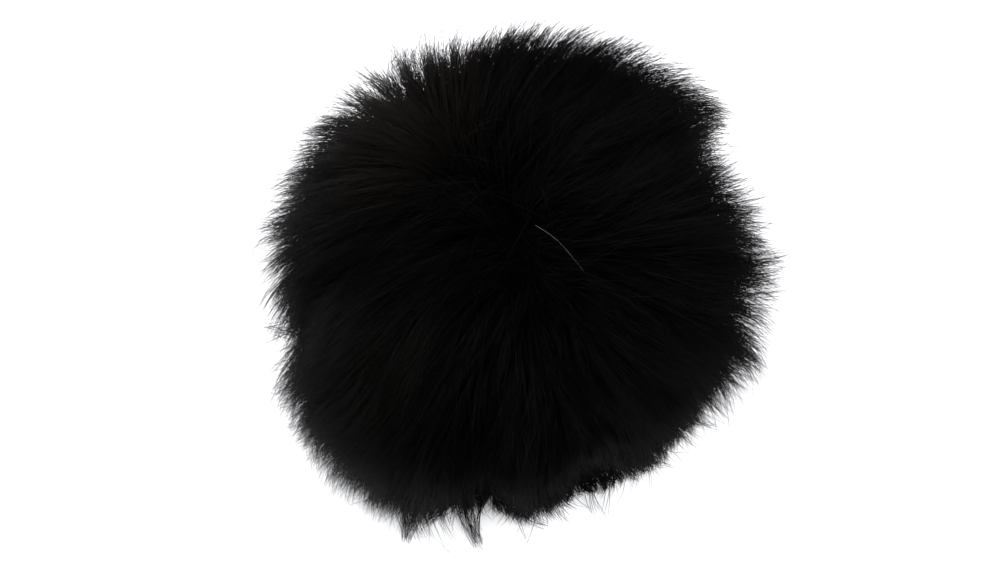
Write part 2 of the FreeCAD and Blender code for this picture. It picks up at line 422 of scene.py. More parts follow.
def finish_piece(piece, body, slot, *nodes):
    """Say which body a piece rides on, and which frame nodes it stands in for; slot is not used."""
    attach(piece, body)
    if nodes:
        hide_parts(*nodes)
    return piece


def backing_height(distance):
    """Radius and height of the fur's roots at a distance up the wall from the hem's bottom edge."""
    step = HEM_TOP - HEM_BOTTOM
    if distance < step:
        return HEM_ROOTS, HEM_BOTTOM + distance
    if distance < step + HEM_SLOPE:
        share = (distance - step) / HEM_SLOPE
        return HEM_ROOTS + (ROOTS - HEM_ROOTS) * share, HEM_TOP + HEM_SLOPE * share
    rise = distance - WALL_RUN
    if rise < 0:
        return ROOTS, LEVEL + rise
    angle = min(rise / ROOTS, math.pi / 2)
    return ROOTS * math.cos(angle), LEVEL + ROOTS * math.sin(angle)


# distances: up the wall, on over the dome, and to where a gore's crown hair takes over
WALL_RUN, DOME_RUN = LEVEL - HEM_BOTTOM, ROOTS * math.pi / 2
CROWN_FROM = WALL_RUN + 1 * MM


def root_patch(name, heading, low, high):
    """The stretch of a gore that hair grows from, between two distances up the wall."""
    across, up = 20, 22
    mesh = bmesh.new()
    rows = []
    for j in range(up + 1):
        radius, height = backing_height(low + (high - low) * j / up)
        row = []
        for i in range(across + 1):
            angle = math.radians(heading - 45 + 90 * i / across)
            row.append(mesh.verts.new(polar(angle, radius, height)))
        rows.append(row)
    for lower, upper in zip(rows, rows[1:]):
        for i in range(across):
            mesh.faces.new((lower[i], lower[i + 1], upper[i + 1], upper[i]))
    bmesh.ops.remove_doubles(mesh, verts=mesh.verts, dist=1e-6)
    return built_object(name, mesh)


# ---- the fur
# heading in degrees, half-width in degrees, and how much longer or shorter the fur stands there
LOBES = [
    (5, 16, -0.04),
    (45, 26, 0.16),
    (20, 9, -0.30),
    (78, 9, -0.05),
    (113, 9, -0.20),
    (140, 28, -0.08),
    (162, 8, -0.12),
    (191, 9, -0.30),
    (230, 18, 0.22),
    (250, 5, -0.16),
    (263, 8, -0.55),
    (292, 15, -0.62),
    (316, 7, -0.28),
    (328, 5, -0.20),
    (343, 9, 0.06),
]

PILE_INPUTS = [
    ("Density", "Float", 3.0e6),
    ("Length", "Float", 0.027),
    ("Hair Width", "Float", 0.00016),
    ("Lean", "Float", 0.75),
    ("Stray Share", "Float", 0.09),
    ("Steps", "Int", 5),
    ("Seed", "Int", 1),
    ("Material", "Material", None),
]


def open_group(name, inputs):
    """A new geometry tree with its named inputs, and a wire from each."""
    group = bpy.data.node_groups.new(name, "GeometryNodeTree")
    group.interface.new_socket("Geometry", in_out="INPUT", socket_type="NodeSocketGeometry")
    group.interface.new_socket("Geometry", in_out="OUTPUT", socket_type="NodeSocketGeometry")
    for label, kind, default in inputs:
        socket = group.interface.new_socket(label, in_out="INPUT", socket_type="NodeSocket" + kind)
        if default is not None:
            socket.default_value = default
    tree = Tree(group)
    given = tree.add("NodeGroupInput")
    return group, tree, {s.name: Wire(tree, s) for s in given.outputs if s.name}


def close_group(tree, geometry, material):
    real = tree.step("GeometryNodeRealizeInstances", Geometry=geometry)
    painted = tree.step("GeometryNodeSetMaterial", Geometry=real, Material=material)
    tree.add("NodeGroupOutput", inputs={"Geometry": painted})


def store(tree, geometry, name, wire):
    kind = "FLOAT_VECTOR" if wire.is_vector else "FLOAT"
    settings = {"data_type": kind, "domain": "POINT"}
    return tree.step(
        "GeometryNodeStoreNamedAttribute", settings, Geometry=geometry, Name=name, Value=wire
    )


def stored(tree, name, kind="FLOAT"):
    return tree.out("GeometryNodeInputNamedAttribute", 0, {"data_type": kind}, {"Name": name})


def random_number(tree, low, high, seed):
    inputs = {2: low, 3: high, "Seed": seed}
    return tree.out("FunctionNodeRandomValue", 1, {"data_type": "FLOAT"}, inputs)


def random_vector(tree, seed):
    inputs = {0: (-1, -1, -1), 1: (1, 1, 1), "Seed": seed}
    return tree.out("FunctionNodeRandomValue", 0, {"data_type": "FLOAT_VECTOR"}, inputs)


def lobe_gain(tree, at):
    """How much longer the fur stands at this heading round the windscreen."""
    x, y, _ = at.parts()
    heading = tree.combine(x, y, 0).unit()
    gain = None
    for degrees, half_width, amount in LOBES:
        middle = polar(math.radians(degrees), 1, 0)
        sharpness = 1 / (1 - math.cos(math.radians(half_width)))
        term = ((heading.dot(middle) - 1) * sharpness).exponent() * amount
        gain = term if gain is None else gain + term
    return gain + 1


def patch(tree, at, middle, size):
    """One at the middle of a patch of fur, falling away to nothing beyond its size."""
    away = (at - tuple(middle)) * (1 / size)
    return (away.dot(away) * -1).exponent()


def comb_direction(tree, at, grow, settings):
    """Along the backing, away from the parting at the crown, with a little wander."""
    start, end = Vector(settings.parting_start), Vector(settings.parting_end)
    line = end - start
    share = (at - tuple(start)).dot(tuple(line / line.length_squared)).at_least(0).at_most(1)
    nearest = share * tuple(line) + tuple(start)
    away = (at - nearest).unit()
    wander = tree.out("ShaderNodeTexNoise", "Color", inputs={"Vector": at, "Scale": 45.0, "Detail": 1.0})
    drift = (as_vector(tree, wander) - 0.5) * settings.wander
    near = ((at - nearest).size() * (1 / settings.parting_reach)).at_most(1)
    return (away + drift).along(grow).unit(), near


def as_vector(tree, wire):
    """A colour output taken as a vector."""
    node = tree.add("ShaderNodeVectorMath", {"operation": "ADD"}, {0: wire, 1: (0, 0, 0)})
    return Wire(tree, node.outputs[0])


def clump(tree, at, grow, size, seed_offset):
    """The nearest lock of a given size: the way to its middle along the backing, and its own chance."""
    node = tree.add(
        "ShaderNodeTexVoronoi", inputs={"Vector": at + seed_offset, "Scale": 1 / size, "Randomness": 1.0}
    )
    pull = (Wire(tree, node.outputs["Position"]) - seed_offset - at).along(grow)
    chance = as_vector(tree, Wire(tree, node.outputs["Color"])) - 0.5
    return pull, chance


# what changes a hair besides its place, and by how much
# the last range sets how strongly the patch of painted warm highlight shows on each hair
LENGTH_RANGE, LEAN_RANGE, PAINTED_WARM_HIGHLIGHT_RANGE = (0.86, 1.05), (-0.1, 0.1), (0.1, 0.9)
LENGTH_BY = {"lock": 0.26, "stray": 0.26, "straggling": 0.22}
LEAN_BY = {"tuft": 0.26, "lock": 0.16, "stray": -0.2}
SIDEWAYS_BY = {"hair": 0.10, "stray": 0.25, "tuft": 0.34, "lock": 0.20}
# the low entry darkens hair towards the table as painted shade, and the last entry lightens one patch into
# streaks as painted highlight
TONE_BY = {"hair": 0.8, "lock": 0.8, "tuft": 0.4, "low": -0.3, "painted_highlight_streaks": 0.5}
STRAGGLING_ABOVE, GLINT_ABOVE = 0.4, 0.94  # chances that a tuft straggles and that a hair glints
PARTING_LEAN = 0.35  # lean at the parting, as a share of the rest
ROOT_BODY, TIP_TAPER = 0.75, 0.93  # a hair's width at its root, and how much its tip loses
EARLY_COMBING, CURL_IN = 0.3, 0.7  # shares: of the combing near the root, of the excess width
RESTING_HEIGHT = (0.3 * MM, 2.0 * MM)  # how high above the table a hair that meets it rests


def hair_length(tree, given, settings, at, up_wall, stray, lock, tuft):
    """Root to tip: by heading, by height up the wall, by tuft and lock, and for strays."""
    length = given["Length"] * lobe_gain(tree, at) * random_number(tree, *LENGTH_RANGE, 13)
    length = length * (settings.hem_share + up_wall * (1 - settings.hem_share))
    variation = tuft[0] * settings.tuft_variation + lock[0] * LENGTH_BY["lock"]
    straggling = tuft[2].over(STRAGGLING_ABOVE) * LENGTH_BY["straggling"]
    length = length * (variation + stray * LENGTH_BY["stray"] + straggling + 1)
    return length.at_most(settings.longest)


def hair_tone(tree, settings, at, up_wall, lock, tuft):
    """From 0, the darkest, to 1, the lightest, and above: each hair's own tone by hair, lock and tuft, with
    painted shade low on the wall, painted glints and a patch of painted highlight streaks.
    """
    tone = random_number(tree, 0.0, 1.0, 15) ** 2 * TONE_BY["hair"]
    # painted shade: hair low on the wall is darkened towards the table
    tone = tone + lock[2] * TONE_BY["lock"] + tuft[2] * TONE_BY["tuft"] + (1 - up_wall) * TONE_BY["low"]
    tone = tone + random_number(tree, 0.0, 1.0, 17).over(GLINT_ABOVE) * settings.glint
    # painted highlight: hair in one patch is lightened into streaks where light catches the pile
    return tone + patch(tree, at, settings.painted_highlight_streaks_at, settings.painted_highlight_streaks_size) * TONE_BY["painted_highlight_streaks"]


def hair_facts(tree, given, settings):
    """What each hair carries from its root: its directions, its length, its lock and its tone."""
    at = tree.out("GeometryNodeInputPosition")
    grow = at_normal(tree, at)
    comb, from_parting = comb_direction(tree, at, grow, settings)
    lock_pull, lock_chance = clump(tree, at, grow, settings.lock_size, 0.37)
    tuft_pull, tuft_chance = clump(tree, at, grow, settings.tuft_size, 0.11)
    own = random_vector(tree, 11)
    stray = random_number(tree, 0.0, 1.0, 12).over(1 - given["Stray Share"])
    lock, tuft = lock_chance.parts(), tuft_chance.parts()
    up_wall = (at.parts()[2] * (1 / LEVEL)).at_most(1)

    lean = given["Lean"] * (PARTING_LEAN + from_parting * (1 - PARTING_LEAN))
    lean = lean * (settings.hem_lean + up_wall * (1 - settings.hem_lean))
    lean = lean + tuft[1] * LEAN_BY["tuft"] + lock[1] * LEAN_BY["lock"] + stray * LEAN_BY["stray"]
    lean = lean + random_number(tree, *LEAN_RANGE, 14)
    ruffled = 1 + (1 - from_parting) * settings.crown_ruffle
    sideways = own * (SIDEWAYS_BY["hair"] + stray * SIDEWAYS_BY["stray"])
    sideways = sideways + tuft_chance * SIDEWAYS_BY["tuft"] + lock_chance * SIDEWAYS_BY["lock"]
    # painted warm highlight: a lighter brownish patch where light falls on the pile
    fading_and_painted_highlight = patch(tree, at, settings.painted_warm_highlight_at, settings.painted_warm_highlight_size)
    return {
        "root": at,
        "grow": grow,
        "comb": comb * lean + (sideways * ruffled).along(grow),
        "gather": lock_pull * settings.lock_hold,
        "bunch": tuft_pull * settings.tuft_hold,
        "reach": hair_length(tree, given, settings, at, up_wall, stray, lock, tuft),
        "tone": hair_tone(tree, settings, at, up_wall, lock, tuft),
        "painted_warm_highlight": fading_and_painted_highlight * random_number(tree, *PAINTED_WARM_HIGHLIGHT_RANGE, 16),
    }


def pile_tree(settings):
    """Hairs on a patch of backing: roots scattered, combed away from the crown, drawn into locks and
    tufts, kept above the table, and given a body that tapers to a point."""
    group, tree, given = open_group("fur_pile", PILE_INPUTS)
    scatter = tree.add(
        "GeometryNodeDistributePointsOnFaces",
        inputs={"Mesh": given["Geometry"], "Density": given["Density"], "Seed": given["Seed"]},
    )
    points = scatter.outputs["Points"]
    for name, wire in hair_facts(tree, given, settings).items():
        points = store(tree, points, name, wire)
    line = tree.step("GeometryNodeCurvePrimitiveLine")
    hair = tree.step("GeometryNodeResampleCurve", Curve=line, Count=given["Steps"])
    planted = tree.step("GeometryNodeInstanceOnPoints", Points=points, Instance=hair)
    hairs = tree.step("GeometryNodeRealizeInstances", Geometry=planted)
    shaped = tree.step("GeometryNodeSetPosition", Geometry=hairs, Position=hair_path(tree, settings))
    part_way = tree.out("GeometryNodeSplineParameter")
    body = ROOT_BODY + part_way * (1 - ROOT_BODY)
    taper = (1 - part_way * part_way * TIP_TAPER) * body
    coloured = store(tree, shaped, "along", part_way)
    section = tree.step("GeometryNodeCurvePrimitiveCircle", {"mode": "RADIUS"}, Resolution=3, Radius=1.0)
    solid = tree.add(
        "GeometryNodeCurveToMesh",
        inputs={
            "Curve": coloured,
            "Profile Curve": section,
            "Scale": taper * given["Hair Width"] * 0.5,
            "Fill Caps": True,
        },
    )
    close_group(tree, solid.outputs[0], given["Material"])
    return group


def at_normal(tree, at):
    """Out of the backing: level on the wall, and away from the dome's centre above it."""
    x, y, z = at.parts()
    rise = (z - LEVEL).at_least(0)
    return tree.combine(x, y, rise).unit()


def hair_path(tree, settings):
    """Where a hair is at each step from root to tip: out, over and down, and along the table."""
    way = tree.out("GeometryNodeSplineParameter")
    names = ("root", "grow", "comb", "gather", "bunch")
    root, grow, comb, gather, bunch = (stored(tree, name, "FLOAT_VECTOR") for name in names)
    reach = stored(tree, "reach")
    squared = way * way
    out = grow * (way - squared * settings.droop)
    over = comb * (way * EARLY_COMBING + squared * (1 - EARLY_COMBING))
    hang = tree.combine(0, 0, squared * -settings.sag)
    path = root + (out + over + hang) * reach + gather * way + bunch * squared
    x, y, z = path.parts()
    resting = random_number(tree, *RESTING_HEIGHT, 21)
    under = (resting - z).at_least(0)
    level = tree.combine(x, y, 0)
    slide = under * settings.spread - (level.size() - settings.widest).at_least(0) * CURL_IN
    return path + level.unit() * slide + tree.combine(0, 0, under)


class FurSettings(bpy.types.PropertyGroup):
    length: a_length("Hair length", "Root to tip of a typical hair", 0.0268)
    density: a_share("Density", "Hairs for each square metre of backing", 2.6e6)
    width: a_length("Hair width", "Across a hair near its root", 0.00017)
    wall_width: a_share("Wall hair width", "How much wider the wall's hairs are", 1.2)
    lean: a_share("Lean", "How far hairs are combed over", 0.8)
    droop: a_share("Droop", "How much hairs bend back towards the backing", 0.40)
    sag: a_share("Sag", "How far tips fall under their own weight", 0.12)
    wander: a_share("Wander", "How much the combing strays from straight", 0.9)
    lock_size: a_length("Lock size", "Across a lock of hairs", 0.0028)
    lock_hold: a_share("Lock hold", "How closely a lock's tips gather", 0.92)
    tuft_size: a_length("Tuft size", "Across a tuft of locks", 0.0085)
    tuft_hold: a_share("Tuft hold", "How closely a tuft's tips bunch", 0.5)
    tuft_variation: a_share("Tuft variation", "How much tufts differ in length", 0.30)
    hem_share: a_share("Hem share", "Length of the fur at the hem, as a share of the rest", 0.45)
    hem_lean: a_share("Hem lean", "How far the hem's hair is combed down, as a share of the rest", 0.35)
    crown_ruffle: a_share("Crown ruffle", "How much more the hair strays at the parting", 1.6)
    glint: a_share("Glint", "How much lighter the few brightest hairs are", 1.6)
    widest: a_length("Widest", "From the axis, where the longest tips start to curl back in", 0.0655)
    longest: a_length("Longest", "No hair is longer than this", 0.0355)
    spread: a_share("Spread", "How far hair that meets the table slides out along it", 0.18)
    parting_reach: a_length("Parting reach", "How far from the parting hair still stands up", 0.013)
    parting_start: a_place(
        "Parting start", "One end of the parting at the crown", (-0.0075, 0.0075, 0.0835)
    )
    parting_end: a_place("Parting end", "Other end of the parting at the crown", (0.005, -0.0095, 0.0835))
    # the loose hair is coloured pale as a painted highlight streak; these settings place it
    loose_start: a_place("Loose hair start", "Where the pale hair starts", (0.0048, -0.008, 0.0987))
    loose_end: a_place("Loose hair end", "Where the pale hair ends", (0.0150, -0.0170, 0.0948))
    loose_radius: a_length("Loose hair radius", "How far from the dome's centre the pale hair lies", 0.0585)
    loose_width: a_share("Loose hair width", "The pale hair's radius, in hair widths", 0.22)
    loose_bend: a_length("Loose hair bend", "How far the pale hair bows sideways", 0.0012)
    dark: a_colour("Dark hair", "Colour of the darkest hairs", (0.0004, 0.0004, 0.00045))
    light: a_colour("Light hair", "Colour of the lightest hairs", (0.0038, 0.0033, 0.0029))
    # painted warm highlight: the three settings below give the colour, middle and reach of a lighter
    # brownish patch where light falls on the pile
    painted_warm_highlight: a_colour("Faded hair", "Colour of the hair that light has faded", (0.011, 0.0085, 0.0068))
    painted_warm_highlight_at: a_place("Faded at", "Middle of the faded patch", (-0.018, 0.0155, 0.0771))
    painted_warm_highlight_size: a_length("Faded size", "Reach of the faded patch", 0.0085)
    # painted highlight: middle and reach of the patch of lighter streaks where light catches the pile
    painted_highlight_streaks_at: a_place("Glossy at", "Middle of the lighter streaks", (-0.0154, -0.0237, 0.0736))
    painted_highlight_streaks_size: a_length("Glossy size", "Reach of the lighter streaks", 0.013)


def hairs_along(name, paths, radius, material):
    """Hairs along chosen paths, each tapering to its tip, as one plain mesh."""
    curve = bpy.data.curves.new(name, "CURVE")
    curve.dimensions, curve.bevel_depth, curve.bevel_resolution = "3D", radius, 1
    for path in paths:
        spline = curve.splines.new("POLY")
        spline.points.add(len(path) - 1)
        for i, (point, place) in enumerate(zip(spline.points, path)):
            point.co = (*place, 1)
            point.radius = 1 - HAIR_TAPER * (i / len(path)) ** 2
    draft = bpy.data.objects.new(name, curve)
    piece = add_object(name, bpy.data.meshes.new_from_object(draft))
    bpy.data.objects.remove(draft)
    piece.data.materials.append(material)
    return finish_piece(piece, "fur_cover", "fur")


HAIR_TAPER = 0.8  # how much narrower a single hair's tip is
LOOSE_STEPS, LOOSE_RIPPLE = 24, 0.8 * MM

# locks that spread on the table: heading in degrees, how far their tips reach from the axis in
# millimetres, how far they sweep sideways in degrees, and how many hairs they have
LYING_LOCKS = [
    (235, 60.5, -2, 34),
    (243, 64.0, 2, 40),
    (251, 57.5, -3, 30),
    (257, 60.0, 5, 34),
    (270, 55.0, 9, 12),
    (274, 60.0, 0, 3),
    (290, 56.0, 3, 6),
    (297, 57.0, -2, 6),
    (329, 60.5, 3, 10),
    (205, 62.0, 3, 12),
    (183, 64.5, -2, 10),
    (31, 67.0, -2, 12),
]
LYING_STEPS = 10
LYING_ROOTS, LYING_TIPS = 6, 1.1  # degrees to each side that a lock's hairs start and end
LYING_TOP, LYING_REST = (5, 15), (0.4, 1.4)  # millimetres: the root above the tip, and the tip's height
LYING_RAGGED = 2.2  # millimetres that tips typically fall short


def lying_paths():
    """A path for each hair of the lying locks: down off the hem and out along the table to a point."""
    chance = random.Random(7)
    paths = []
    for heading, reach, sweep, count in LYING_LOCKS:
        for _ in range(count):
            start = chance.uniform(-LYING_ROOTS, LYING_ROOTS)
            end = chance.uniform(-LYING_TIPS, LYING_TIPS)
            top, rest = chance.uniform(*LYING_TOP) * MM, chance.uniform(*LYING_REST) * MM
            tip = (reach - abs(chance.gauss(0, LYING_RAGGED))) * MM
            path = []
            for i in range(LYING_STEPS + 1):
                way = i / LYING_STEPS
                angle = math.radians(heading + start + (end - start) * way + sweep * way * way)
                radius = HEM_ROOTS + (tip - HEM_ROOTS) * way
                height = rest + top * (1 - way) ** 2
                path.append(polar(angle, radius, height))
            paths.append(path)
    return paths


class WINDSCREEN_OT_fur(bpy.types.Operator):
    """Grow the fur of the four gores"""

    bl_idname = "windscreen.fur"
    bl_label = "Fur"

    def execute(self, context):
        settings = context.scene.windscreen_fur
        group = pile_tree(settings)
        material = fur_material(settings)
        backing = cloth_material("fur_backing", 0.8 * MM, 0.8 * MM, 0.15 * MM, sheen=0.0)
        bands = {"crown": (CROWN_FROM, WALL_RUN + DOME_RUN), "wall": (0, CROWN_FROM)}
        for index, (name, heading) in enumerate(GORES.items()):
            sheet, flat, area = backing_sheet(name, heading, backing)
            for band, (low, high) in bands.items():
                hairs = baked_nodes(
                    root_patch("roots", heading, low, high),
                    group,
                    {
                        "Density": settings.density,
                        "Length": settings.length,
                        "Hair Width": settings.width * (settings.wall_width if band == "wall" else 1),
                        "Lean": settings.lean,
                        "Seed": index * 2 + (band == "wall"),
                        "Material": material,
                    },
                    f"fur_{band}_{name}",
                )
                finish_piece(hairs, "fur_cover", "fur", "fur_gore_" + name)
        hairs_along("lying_locks", lying_paths(), settings.width / 2, material)
        self.highlight_streak_hair(settings)
        return {"FINISHED"}

    def highlight_streak_hair(self, settings):
        """One hair lying across the pile, coloured pale as a painted highlight streak."""
        start, end = Vector(settings.loose_start), Vector(settings.loose_end)
        middle = Vector((0, 0, LEVEL))
        points = []
        for i in range(LOOSE_STEPS + 1):
            way = i / LOOSE_STEPS
            ray = start.lerp(end, way) - middle
            ray.x += settings.loose_bend * math.sin(way * math.pi)
            height = settings.loose_radius + LOOSE_RIPPLE * math.sin(way * math.pi * 2.2)
            points.append(middle + ray.normalized() * height)
        # painted highlight: this hair's pale colour stands for light catching a streak of hairs
        pale = patterned("painted_highlight_hair", mottled, 0.4)
        hairs_along("highlight_streak_hair", [points], settings.width * settings.loose_width, pale)


def backing_sheet(name, heading, material):
    """One gore's knitted backing, the whole height of the cover, with its cut width, height and area."""
    piece = root_patch("backing_" + name, heading, 0, WALL_RUN + DOME_RUN)
    piece.data.materials.append(material)
    modifier = piece.modifiers.new("thickness", "SOLIDIFY")
    modifier.thickness = BACKING * 0.9
    modifier.offset = -1
    flat = (HEM_ROOTS * TURN / 4, WALL_RUN + DOME_RUN)
    hem = HEM_ROOTS * (HEM_TOP - HEM_BOTTOM)
    area = TURN / 4 * (hem + ROOTS * (LEVEL - HEM_TOP) + ROOTS * ROOTS)
    return finish_piece(piece, "fur_cover", "fur", "fur_gore_" + name), flat, area


# ---- foam insert
FOAM_SEGMENTS = 200
FOAM_SINK, FOAM_LUMPS = 0.25 * MM, 180  # how far the foam's surface sinks, and how fine its lumps are


def soft_surface(amount, scale):
    """Uneven to the touch: a shape function that sinks a surface by up to amount, never raising it."""

    def shape(angle, radius, height):
        at = Vector(polar(angle, radius, height))
        return radius - amount * (0.5 + 0.5 * noise.noise(at * scale)), height

    return shape


class WINDSCREEN_OT_foam(bpy.types.Operator):
    """Make the foam sleeve and dome, and the adhesive between them"""

    bl_idname = "windscreen.foam"
    bl_label = "Foam"

    def execute(self, context):
        foam = patterned("open_cell_foam", pores, 0.95, 0.5 * MM)
        low, high = (corner.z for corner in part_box("foam_sleeve"))
        uneven = soft_surface(FOAM_SINK, FOAM_LUMPS)
        wall = wall_profile(FOAM_INNER + 0.1 * MM, FOAM_OUTER, low, high, edge=0.3 * MM)
        crown = dome_profile(FOAM_INNER + FOAM_SINK, FOAM_OUTER, 40)
        for name, section, node in (("wall", wall, "foam_sleeve"), ("crown", crown, "foam_dome")):
            piece = turned("foam_" + name, section, foam, FOAM_SEGMENTS, uneven)
            finish_piece(piece, "foam_insert", "foam", node)
        repaint("foam_glue_ring", patterned("contact_adhesive", dried, 0.4, 0.1 * MM))
        return {"FINISHED"}


def repaint(node, material):
    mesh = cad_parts[node].data
    mesh.materials.clear()
    mesh.materials.append(material)


# ---- cloth parts
LINING_SEGMENTS, HEM_SEGMENTS, TAPE_SEGMENTS = 160, 720, 200
SLACK = 0.08 * MM  # how far a taut lining still gives
GATHERS, GATHER_IN, GATHER_UP = 84, 0.35 * MM, 0.3 * MM
HEM_FOLD, TAPE_FOLD = 0.5 * MM, 0.55 * MM  # how far the corners of a folded edge are rounded


def ripple(count, radial, upright):
    """Gathered cloth: a shape function that pleats outwards-facing walls inwards and floors upwards."""

    def shape(angle, radius, height):
        wave = 0.5 + 0.35 * math.sin(count * angle) + 0.15 * math.sin(round(count * 2.3) * angle + 1)
        share = (radius - COVER_BORE) / (HEM_OUTER - COVER_BORE)
        lift = upright * wave * max(0.0, 1 - (height - HEM_BOTTOM) / (1.5 * MM))
        return radius - radial * wave * max(0.0, share), height + lift

    return shape


def wrinkle(amount):
    """Cloth that isn't quite taut: a shape function with long shallow creases, sinking outwards."""

    def shape(angle, radius, height):
        crease = noise.noise(Vector((math.cos(angle) * 3, math.sin(angle) * 3, height * 90)))
        return radius + amount * crease, height

    return shape


def sewn_wall(name, inner, outer, low, high, cloth, node, body, slot):
    """A straight lining: a thin tube of knitted mesh."""
    profile = wall_profile(inner + SLACK, outer - SLACK, low, high, 2 * MM)
    piece = turned(name, profile, cloth, LINING_SEGMENTS, wrinkle(SLACK))
    finish_piece(piece, body, slot, node)


def sewn_dome(name, inner, outer, cloth, node, body, slot, start=0.0):
    """A domed panel: a disc of knitted mesh eased to shape."""
    profile = dome_profile(inner + SLACK, outer - SLACK, 36, start=start)
    piece = turned(name, profile, cloth, LINING_SEGMENTS, wrinkle(SLACK))
    finish_piece(piece, body, slot, node)


class WINDSCREEN_OT_cloth(bpy.types.Operator):
    """Make the linings, the crown patch, the hem and the tape"""

    bl_idname = "windscreen.cloth"
    bl_label = "Cloth parts"

    def execute(self, context):
        knit = cloth_material("knitted_lining", 1.1 * MM, 0.9 * MM, 0.2 * MM)
        mesh = cloth_material("scrim_mesh", 1.5 * MM, 1.5 * MM, 0.3 * MM)
        linings = [
            ("lining", "lining_crown", "fur_cover", knit, COVER_BORE, SHELL, HEM_TOP),
            ("scrim", "scrim_end", "foam_insert", mesh, BORE, FOAM_INNER, TAPE_TOP),
        ]
        for slot, end, body, cloth, inner, outer, low in linings:
            sewn_wall(slot + "_wall", inner, outer, low, LEVEL, cloth, slot + "_sleeve", body, slot)
            sewn_dome(end, inner, outer, cloth, slot + "_dome", body, slot)
        start = math.asin((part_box("crown_patch")[LOW].z - LEVEL) / COVER_BORE)
        inner, node = COVER_BORE - CLOTH, "crown_patch"
        sewn_dome(node + "_cloth", inner, COVER_BORE, knit, node, "fur_cover", "lining", start)
        self.hem()
        self.tape()
        elastic = patterned("braided_elastic", ribs, 0.75, 0.15 * MM)
        repaint("elastic_band", elastic)
        repaint("elastic_lap", elastic)
        return {"FINISHED"}

    def hem(self):
        """The casing: one strip folded up round the elastic and gathered by it."""
        cloth = cloth_material("casing_cloth", 0.5 * MM, 0.5 * MM, 0.12 * MM)
        inner, outer, fold = COVER_BORE, HEM_OUTER, HEM_FOLD
        corners = [
            (inner, HEM_TOP), (inner, HEM_BOTTOM + fold), (inner + fold, HEM_BOTTOM),
            (outer - fold, HEM_BOTTOM), (outer, HEM_BOTTOM + fold), (outer, HEM_TOP),
            (outer - CLOTH, HEM_TOP), (outer - CLOTH, HEM_BOTTOM + CLOTH),
            (inner + CLOTH, HEM_BOTTOM + CLOTH), (inner + CLOTH, HEM_TOP),
        ]
        gathers = ripple(GATHERS, GATHER_IN, GATHER_UP)
        piece = turned("hem_cloth", divided(corners, 0.8 * MM), cloth, HEM_SEGMENTS, gathers)
        finish_piece(piece, "fur_cover", "casing", "hem_casing")

    def tape(self):
        """The mouth's binding: ribbed tape folded up both sides of the foam's edge."""
        ribbed = cloth_material("ribbed_tape", 1.0 * MM, 30 * MM, 0.2 * MM)
        fold = TAPE_FOLD
        corners = [
            (BORE, TAPE_TOP), (BORE, fold), (BORE + fold, 0.0), (TAPE_OUTER - fold, 0.0),
            (TAPE_OUTER, fold), (TAPE_OUTER, TAPE_TOP), (FOAM_OUTER, TAPE_TOP), (FOAM_OUTER, TAPE),
            (FOAM_INNER, TAPE), (FOAM_INNER, TAPE_TOP),
        ]
        piece = turned("rim_binding", divided(corners, 1.0 * MM), ribbed, TAPE_SEGMENTS)
        finish_piece(piece, "foam_insert", "tape", "rim_tape")


# ---- stitches
RINGS = {
    "fur_cover": (
        "casing_stitches_inner", "casing_stitches_outer", "lining_join_stitches", "crown_patch_stitches"
    ),
    "foam_insert": ("rim_stitches_outer", "rim_stitches_inner", "scrim_join_stitches"),
}
SEAMS = {"right_back": 45, "back_left": 135, "left_front": 225, "front_right": 315}
SEAM_LIFT = 0.4 * MM  # how far outside the lining a gore seam's stitches lie
STITCH_INPUTS = [
    ("Pitch", "Float", 0.0036),
    ("Length", "Float", 0.0027),
    ("Thread", "Float", 0.0005),
    ("Material", "Material", None),
]


def stitch_tree():
    """Stitches along a path: one every pitch, each a short run of thread with rounded ends."""
    group, tree, given = open_group("stitch_row", STITCH_INPUTS)
    path = tree.step("GeometryNodeMeshToCurve", Mesh=given["Geometry"])
    spacing = {"Curve": path, "Length": given["Pitch"]}
    spaced = tree.add("GeometryNodeCurveToPoints", {"mode": "LENGTH"}, spacing).outputs
    ball = tree.step("GeometryNodeMeshUVSphere", Segments=8, Rings=6, Radius=0.5)
    turn = tree.step("FunctionNodeAlignRotationToVector", {"axis": "Z"}, Vector=spaced["Tangent"])
    size = tree.combine(given["Thread"], given["Thread"], given["Length"])
    row = tree.step(
        "GeometryNodeInstanceOnPoints", Points=spaced["Points"], Instance=ball, Rotation=turn, Scale=size
    )
    smooth = tree.step("GeometryNodeSetShadeSmooth", Geometry=row)
    close_group(tree, smooth, given["Material"])
    return group


def path_object(points, closed):
    mesh = bpy.data.meshes.new("path")
    edges = [(i, i + 1) for i in range(len(points) - 1)]
    if closed:
        edges.append((len(points) - 1, 0))
    mesh.from_pydata(points, edges, [])
    return add_object("path", mesh)


def ring_path(node):
    """The circle that a ring of stitches lies on."""
    low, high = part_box(node)
    radius, height = high.x - THREAD / 2, (low.z + high.z) / 2
    step = TURN / 360
    return [polar(i * step, radius, height) for i in range(360)]


def seam_path(node, heading):
    """The line up a gore seam, from the hem towards the crown."""
    low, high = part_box(node)
    radius = SHELL + SEAM_LIFT
    top = math.asin(min(1.0, (high.z - LEVEL) / radius))
    points = [(radius, low.z + (LEVEL - low.z) * i / 12) for i in range(12)]
    angles = [top * i / 40 for i in range(41)]
    points += [(radius * math.cos(angle), LEVEL + radius * math.sin(angle)) for angle in angles]
    return [polar(math.radians(heading), r, z) for r, z in points]


